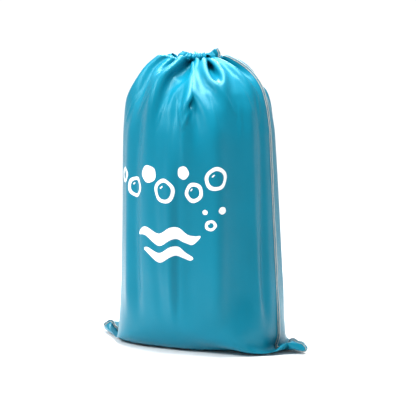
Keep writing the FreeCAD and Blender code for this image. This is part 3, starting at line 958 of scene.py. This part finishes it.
def casing_walls(columns, stitch_row):
    """The gathered casing round the cord: its outer wall up to the fold, and its inner wall down again.
    It carries the big pleats on over the cord, with small ruffles on them."""
    pleat, across, radius, angle = gathers(columns)
    chance = np.random.default_rng(11)
    rise = smooth(1 - np.abs(2 * across - 1), 0.05, 0.95)
    small = 3 * across
    size = chance.uniform(0.5, 1.2, (BIG_PLEATS, 4))[pleat, np.minimum(small.astype(int), 3)]
    ruffle = -np.cos(2 * math.pi * small) * size
    tall = chance.uniform(-0.0025, 0.0015, BIG_PLEATS)[pleat] * rise
    degrees = azimuth(np.cos(angle), np.sin(angle))
    seam_peak = bell(degrees, 88, 11)
    hump = bell(degrees, *HUMP)
    top = MOUTH_TOP - 0.0075 + 0.003 * rise + tall + 0.0010 * ruffle + 0.0125 * seam_peak + 0.004 * hump
    stitch_radius = np.hypot(stitch_row[:, 0], stitch_row[:, 1])
    fold_radius = 0.0335 + 0.008 * rise + 0.0015 * ruffle + 0.008 * seam_peak

    def wall(count, low, swing, ruffled):
        rows = []
        for t in np.linspace(0, 1, count):
            leave = smooth(np.array(t), 0.0, 0.40)
            join = smooth(np.array(t), 0.55, 1.0)
            wide = low + swing * rise + ruffled * ruffle + 0.005 * seam_peak * t
            radius = (1 - leave) * stitch_radius + leave * ((1 - join) * wide + join * fold_radius)
            z = STITCH_Z + (top - STITCH_Z) * (0.8 * t + 0.2 * smooth(np.array(t), 0, 1))
            rows.append(points_round(radius, angle, z))
        return np.array(rows)

    outer = wall(Panel.OUTER_ROWS, 0.0385, 0.0150, 0.0014)
    inner = wall(Panel.INNER_ROWS, 0.0222, 0.0060, 0.0030)[::-1].copy()
    inner[-1, :, :2] *= 0.985
    inner[-1, :, 2] -= 0.0004
    return outer, inner


def panel_columns(grid, front):
    """The front runs from the left seam to the right one, the back on round to the left one again."""
    half = grid.shape[1] // 2
    if front:
        return grid[:, :half + 1]
    return np.concatenate([grid[:, half:], grid[:, :1]], 1)


# where the casing's outer wall is open: degrees from the front, half width, lowest and highest point
EYELETS = ((180, 13, 0.7130, 0.7285), (53, 6, 0.7145, 0.7235))


def open_eyelets(panel):
    """Which of a panel's quads stay."""
    keep = np.ones((len(panel.points) - 1, panel.columns - 1), dtype=bool)
    for middle, half_width, low, high in EYELETS:
        wall = panel.points[panel.rows - 1:panel.fold_row]
        away = np.abs((azimuth(wall[..., 0], wall[..., 1]) - middle + 180) % 360 - 180)
        gone = (away < half_width) & (wall[..., 2] > low) & (wall[..., 2] < high)
        keep[panel.rows - 1:panel.fold_row] &= ~gone[:, :-1] | ~gone[:, 1:]
    return keep


def make_panel(name, node, panel, material):
    keep = open_eyelets(panel)
    points = panel.points.reshape(-1, 3)
    faces = grid_faces(len(panel.points), panel.columns, keep)
    used = np.zeros(len(points), dtype=bool)
    used[np.array(faces).ravel()] = True
    index = np.cumsum(used) - 1
    faces = [tuple(int(index[k]) for k in face) for face in faces]
    made = new_object(name, points[used], faces, material, panel.uv.reshape(-1, 2)[used])
    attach(made, "bag")
    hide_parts(node)


# ---- seams

FIN_WIDTH = 0.0058
FIN_HALF_THICKNESS = 0.00055
STITCH_PITCH = 0.0024
SEAM_STEP = 0.0022          # between the points along a seam
BEADS_A_STITCH = 4
# outline of the fin across the seam: how far out, and to which side, as shares
FIN_OUTLINE = (
    (-0.08, -0.7), (0.45, -1.0), (0.93, -0.85), (1.0, 0.0), (0.93, 0.85), (0.45, 1.0), (-0.08, 0.7))
# one loop a stitch, as shares of the stitch, the fin's width and its half thickness: out over one face,
# round the edge and back over the other
LOOP = (
    (0.0, 0.16, 1.15), (0.28, 0.95, 1.1), (0.36, 1.09, 0.0), (0.44, 0.95, -1.1), (0.8, 0.16, -1.15),
    (0.9, 0.02, 0.0))


def square_to(along, vectors):
    """The part of the vectors that is square to unit vectors along."""
    return vectors - along * (vectors * along).sum(1, keepdims=True)


def fin_directions(line, out, over, lift, stands):
    """Which way a fin points: it lies over the cloth beside it, lifted off by an angle, or stands out."""
    along = tangents(line)
    over = unit(over)
    away = unit(square_to(over, out))
    lying = over * np.cos(lift)[:, None] + away * np.sin(lift)[:, None]
    reach = unit(square_to(along, lying * (1 - stands)[:, None] + out * stands[:, None]))
    return reach, np.cross(along, reach)


def fin_mesh(line, reach, side, width):
    points = []
    for out_share, side_share in FIN_OUTLINE:
        points.append(line + reach * (width * out_share)[:, None] + side * FIN_HALF_THICKNESS * side_share)
    return np.stack(points, 1).reshape(-1, 3), ring_faces(len(line), len(FIN_OUTLINE))


def place_on_fin(line, reach, side, width, at, out_share, side_by):
    """A point at each place along the fin, given in steps of the line."""
    i = np.clip(at, 0, len(line) - 1.001)
    row = i.astype(int)
    part = (i - row)[:, None]

    def mixed(values):
        return values[row] * (1 - part) + values[row + 1] * part
    return mixed(line) + mixed(reach) * (mixed(width[:, None]) * out_share) + mixed(side) * side_by


def overlock(line, reach, side, width):
    """The overlock's threads: a beaded line at the needle, a beaded edge, and loops over both faces."""
    pile = Pile()
    count = int((len(line) - 1) * SEAM_STEP / STITCH_PITCH)
    per_stitch = STITCH_PITCH / SEAM_STEP
    stitches = np.arange(BEADS_A_STITCH * count) / BEADS_A_STITCH
    fine = stitches * per_stitch
    beads = 0.00042 + 0.00016 * np.sin(2 * math.pi * stitches) ** 2
    cloth = FIN_HALF_THICKNESS + 0.0001
    for out_share, side_by in ((0.16, cloth), (0.16, -cloth), (1.04, 0.0)):
        path = place_on_fin(line, reach, side, width, fine, out_share, side_by)
        pile.add(*tube(path, beads * (1.2 if out_share > 1 else 1.0), 5))
    paths = []
    for later, out_share, side_share in LOOP:
        at = (np.arange(count) + later) * per_stitch
        paths.append(place_on_fin(line, reach, side, width, at, out_share, cloth * side_share))
    pile.add(*tube(np.stack(paths, 1).reshape(-1, 3), 0.00022, 4))
    return pile


def sew_fin(names, node, line, reach, side, width, cloth, thread):
    """The seam's fin and the overlock threads on it, as two pieces."""
    made = new_object(names[0], *fin_mesh(line, reach, side, width), cloth)
    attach(made, "bag")
    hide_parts(node)
    threads = overlock(line, reach, side, width).made(names[1], thread)
    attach(threads, "bag")


def side_seam(name, node, line, before, after, over, cloth, thread):
    """line is the seam, before and after are the cloth on each side of it, and over is the back panel a
    fin's width away."""
    out = unit(np.cross(after - before, tangents(line)))
    over = over - line
    out[0], over[0] = out[1], over[1]      # at the corner's tip the two panels meet
    lengths = lengths_along(line)
    at = np.arange(0, lengths[-1], SEAM_STEP)
    line, out, over = (read_at(at, lengths, values) for values in (line, out, over))
    out = unit(out)
    wander = 0.16 * np.sin(at * 31.0 + line[0, 0] * 9) + 0.10 * np.sin(at * 83.0)
    stands = 1 - smooth(line[:, 2], 0.04, 0.16)
    reach, side = fin_directions(line, out, over, 0.62 + wander, stands)
    width = np.full(len(line), FIN_WIDTH) * (0.55 + 0.45 * smooth(at, 0.0, 0.012))
    sew_fin((name, name + "_overlock"), node, line, reach, side, width, cloth, thread)


def bottom_seam(row, cloth, thread):
    """The bottom seam's fin lies on the floor and points out along the raised corners."""
    line = resample(row, SEAM_STEP)
    x = line[:, 0]
    raised = smooth(np.abs(x), 0.19, 0.27)
    reach = np.stack([0.4 * np.sign(x) * raised, 1 - 0.3 * raised, -0.35 * raised], 1)
    along = tangents(line)
    reach = unit(square_to(along, reach))
    side = np.cross(along, reach)
    width = FIN_WIDTH * smooth(np.abs(np.abs(x) - np.abs(x).max()), -0.012, 0.006)
    line[:, 2] -= 0.0010 * (1 - raised)
    names = ("bottom_seam_fin", "bottom_seam_overlock")
    sew_fin(names, "bottom_seam", line, reach, side, width, cloth, thread)


def casing_stitches(panels, thread):
    """Running stitches through the gathers under the casing."""
    pile = Pile()
    pitch, gap = 0.0030, 0.0008
    lift = 0.0003 * np.array([0.2, 1.0, 1.0, 0.2])[:, None]
    for panel in panels:
        row = panel.points[panel.rows - 2]
        normal = panel.normals()[panel.rows - 2]
        lengths = lengths_along(row)
        for start in np.arange(0.001, lengths[-1] - pitch, pitch):
            at = np.linspace(start, start + pitch - gap, 4)
            pile.add(*tube(read_at(at, lengths, row) + read_at(at, lengths, normal) * lift, 0.00026, 5))
    made = pile.made("casing_running_stitch", thread)
    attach(made, "bag")
    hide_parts("casing_stitching")


# ---- the print

# soap bubbles: x across the front, height on the bag, radius, and the open share of a ring
BUBBLES = (
    (-0.150, 0.428, 0.019, 0.58), (-0.104, 0.404, 0.025, 0.66), (-0.052, 0.440, 0.021, 0.0),
    (-0.004, 0.402, 0.029, 0.70), (0.048, 0.446, 0.015, 0.0), (0.074, 0.398, 0.023, 0.62),
    (0.128, 0.428, 0.027, 0.68), (0.112, 0.318, 0.013, 0.5), (0.140, 0.352, 0.009, 0.0),
    (0.100, 0.350, 0.006, 0.0))
# brushed waves: height, half length and half thickness
WAVES = ((0.292, 0.088, 0.015), (0.248, 0.068, 0.012))
WAVE_RISE = 0.009
WAVE_PITCH = 0.088
FILM = 0.0003               # how far the print stands off the cloth
RING_POINTS = 65
GLINT = (0.34, 0.46, 20, 27)    # a ring's glint: inner and outer share, and its first and last point


def wobble(turn, seed):
    return 1 + 0.035 * np.sin(2 * turn + seed) + 0.025 * np.sin(5 * turn + 2.1 * seed)


def print_patches():
    """Each painted patch as a grid of pattern points: x from the front's middle, and height on the bag."""
    for number, (x, z, radius, share) in enumerate(BUBBLES):
        turn = np.linspace(0, 2 * math.pi, RING_POINTS)
        whole = (share, 1.0, 0, RING_POINTS - 1)
        for inner, outer, start, end in (whole, GLINT) if share > 0 else (whole,):
            span = turn[start:end + 1]
            rings = np.linspace(inner, outer, 12)[:, None]
            thick = wobble(span, number)[None, :]
            reach = radius * rings * np.where(rings > inner, thick, 1 + 0.6 * (thick - 1))
            yield x + reach * np.cos(span), z + reach * np.sin(span)
    for number, (z, half_length, half_thickness) in enumerate(WAVES):
        along = np.linspace(-half_length, half_length, 150)
        bristles = np.linspace(-1, 1, 17)
        end = np.sqrt(np.maximum(1 - (along / half_length) ** 2, 0))
        ragged = 1 + 0.10 * np.sin(along * 210 + number) * smooth(along, 0, half_length)
        middle = z + WAVE_RISE * np.sin(2 * math.pi * along / WAVE_PITCH)
        across = np.outer(bristles, half_thickness * end * ragged)
        yield np.tile(along, (17, 1)), middle[None, :] + across


def print_on(panel, material):
    middle = panel.body[:, panel.columns // 2, 2]
    climb = np.maximum.accumulate(middle)
    heights = np.linspace(0, BODY_HEIGHT, panel.rows)
    rising = np.concatenate([[True], np.diff(climb) > 1e-6])
    pile, uv = Pile(), []
    for x, z in print_patches():
        centre = np.interp(z.mean(), climb[rising], heights[rising])
        height = centre + (z - z.mean())
        place, normal = panel.at(x + FLAT_WIDTH / 2, height)
        place = place + normal * FILM
        pile.add(place.reshape(-1, 3), grid_faces(*x.shape))
        uv.append(np.stack([x, height], -1).reshape(-1, 2))
    made = new_object("front_print", pile.points, pile.faces, material, np.concatenate(uv))
    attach(made, "bag")
    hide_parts("printed_motif")


# ---- the cord's tails and their knot

# control points of the two hanging tails, from the lock's lower face to the knot
RIGHT_TAIL = (
    (0.000, 0.0921, 0.6958), (0.000, 0.1354, 0.6708), (0.004, 0.163, 0.628), (0.010, 0.1815, 0.577),
    (0.012, 0.1885, 0.521), (0.015, 0.1892, 0.464), (0.013, 0.1906, 0.408), (0.017, 0.191, 0.351),
    (0.014, 0.1902, 0.295), (0.009, 0.1914, 0.240), (0.007, 0.1918, 0.190), (0.0023, 0.1935, 0.1503))
LEFT_TAIL = (
    (0.000, 0.0900, 0.6922), (0.000, 0.1333, 0.6672), (-0.004, 0.161, 0.6255), (-0.011, 0.180, 0.574),
    (-0.016, 0.1878, 0.518), (-0.014, 0.190, 0.461), (-0.017, 0.1892, 0.405), (-0.013, 0.1906, 0.349),
    (-0.015, 0.1908, 0.294), (-0.011, 0.1912, 0.240), (-0.006, 0.1919, 0.190), (-0.0023, 0.1935, 0.1503))
KNOT_CENTRE = (0.0, 0.1935, 0.143)
CORD_STEP = 0.0008          # between the points along a cord
BRAID_PITCH = 0.0064


def spline_points(route):
    """Points read along the smooth spline that has the route's points as its control points."""
    data = bpy.data.curves.new("route", "CURVE")
    data.dimensions = "3D"
    data.resolution_u = 40
    spline = data.splines.new("NURBS")
    spline.points.add(len(route) - 1)
    for point, place in zip(spline.points, route):
        point.co = (*place, 1)
    spline.order_u = 3
    spline.use_endpoint_u = True
    holder = link("route", data)
    mesh = bpy.data.meshes.new_from_object(holder.evaluated_get(bpy.context.evaluated_depsgraph_get()))
    points = np.array([tuple(v.co) for v in mesh.vertices])
    bpy.data.objects.remove(holder)
    bpy.data.curves.remove(data)
    bpy.data.meshes.remove(mesh)
    return points


def braid(step):
    """Relief of a braid: strands that cross each way round the cord."""
    def relief(i, turn):
        travel = 2 * math.pi * i * step / BRAID_PITCH
        return 0.00011 * math.cos(4 * turn + travel) * math.cos(4 * turn - travel)
    return relief


def cord_tail(name, node, route, material):
    line = resample(spline_points(route), CORD_STEP)
    points, faces = tube(line, CORD_RADIUS - 0.00005, 16, relief=braid(CORD_STEP))
    made = new_object(name, points, faces, material)
    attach(made, "bag")
    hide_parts(node)


def knot_piece(material):
    """An overhand knot in both tails at once, drawn tight, with two short sealed ends."""
    pile = Pile()
    centre = np.array(KNOT_CENTRE)
    for side in (-1, 1):
        turn = np.linspace(0, 2 * math.pi, 90)
        phase = 0.35 * side
        ring = 0.0052 + 0.0012 * np.cos(3 * turn + phase)
        wrap = np.stack([
            ring * np.cos(turn + phase) + 0.0006 * side,
            0.80 * ring * np.sin(turn + phase),
            0.0030 * side + 0.0024 * np.sin(3 * turn + phase) + 0.0008 * np.sin(turn)], 1)
        pile.add(*tube(centre + wrap, CORD_RADIUS, 12, False, braid(0.0004)))
        entry = np.array([(0.0023 * side, 0, 0.0085), (0.0022 * side, 0, 0.004), (0.0014 * side, 0, -0.002)])
        pile.add(*tube(centre + entry, CORD_RADIUS, 12))
        stub = np.array([
            (0.0018 * side, 0.0, -0.002), (0.0026 * side, 0.0003, -0.008), (0.0030 * side, 0.0006, -0.014),
            (0.0033 * side, 0.0004, -0.019), (0.0034 * side, 0.0003, -0.0222),
            (0.0034 * side, 0.0003, -0.0228)])
        stub = resample(stub, CORD_STEP)
        melted = CORD_RADIUS * (1 - 0.75 * smooth(-stub[:, 2], 0.0205, 0.0229) ** 2)
        pile.add(*tube(centre + stub, melted, 14, True, braid(CORD_STEP)))
    made = pile.made("knotted_ends", material)
    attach(made, "bag")
    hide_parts("tail_knot")
    return made


# ---- the lock and the cord in the casing


def repaint(piece, material):
    piece.data.materials.clear()
    piece.data.materials.append(material)


def coil_spring(material):
    """The CAD spring again, as a piece of its own on the cord lock."""
    made = link("coil_spring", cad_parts["lock_spring"].data.copy())
    repaint(made, material)
    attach(made, "cord_lock")
    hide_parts("lock_spring")
    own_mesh(made)


# ---- build

def build():
    place_camera()
    cloth, thread, cord = bag_cloth(), seam_thread(), black_cord()
    knot = knot_piece(cord)
    cord_tail("right_tail", "right_cord_tail", RIGHT_TAIL, cord)
    cord_tail("left_tail", "left_cord_tail", LEFT_TAIL, cord)
    light_studio()
    lay_floor()

    grid = finish_body(settle())
    factor = 2 if grid.shape[1] > 200 else 3       # a coarser grid is made three times as fine, a finer one twice
    columns = grid.shape[1] * factor
    panels = [Panel(panel_columns(grid, front), factor) for front in (True, False)]
    stitch_row = np.concatenate([panels[0].body[-1, :-1], panels[1].body[-1, :-1]])
    outer, inner = casing_walls(columns, stitch_row)
    for panel, front in zip(panels, (True, False)):
        panel.with_casing(panel_columns(outer, front), panel_columns(inner, front))
    front, back = panels
    make_panel("front_cloth", "front_panel", front, cloth)
    make_panel("back_cloth", "back_panel", back, cloth)

    seam_rows = front.fold_row + 1
    ahead, behind = front.points[:seam_rows], back.points[:seam_rows]
    side_seam("right_seam", "right_side_seam", ahead[:, -1], ahead[:, -3], behind[:, 2], behind[:, 3],
              cloth, thread)
    side_seam("left_seam", "left_side_seam", ahead[:, 0], behind[:, -3], ahead[:, 2], behind[:, -4],
              cloth, thread)
    bottom_seam(front.points[0], cloth, thread)
    casing_stitches(panels, thread)
    print_on(front, print_film())

    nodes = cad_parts
    repaint(nodes["drawcord_loop"], cord)
    repaint(nodes["lock_barrel"], lock_plastic("lock_plastic", 1.0, 0.38))
    repaint(nodes["lock_plunger"], lock_plastic("button_plastic", 1.25, 0.30))
    coil_spring(spring_steel())


build()
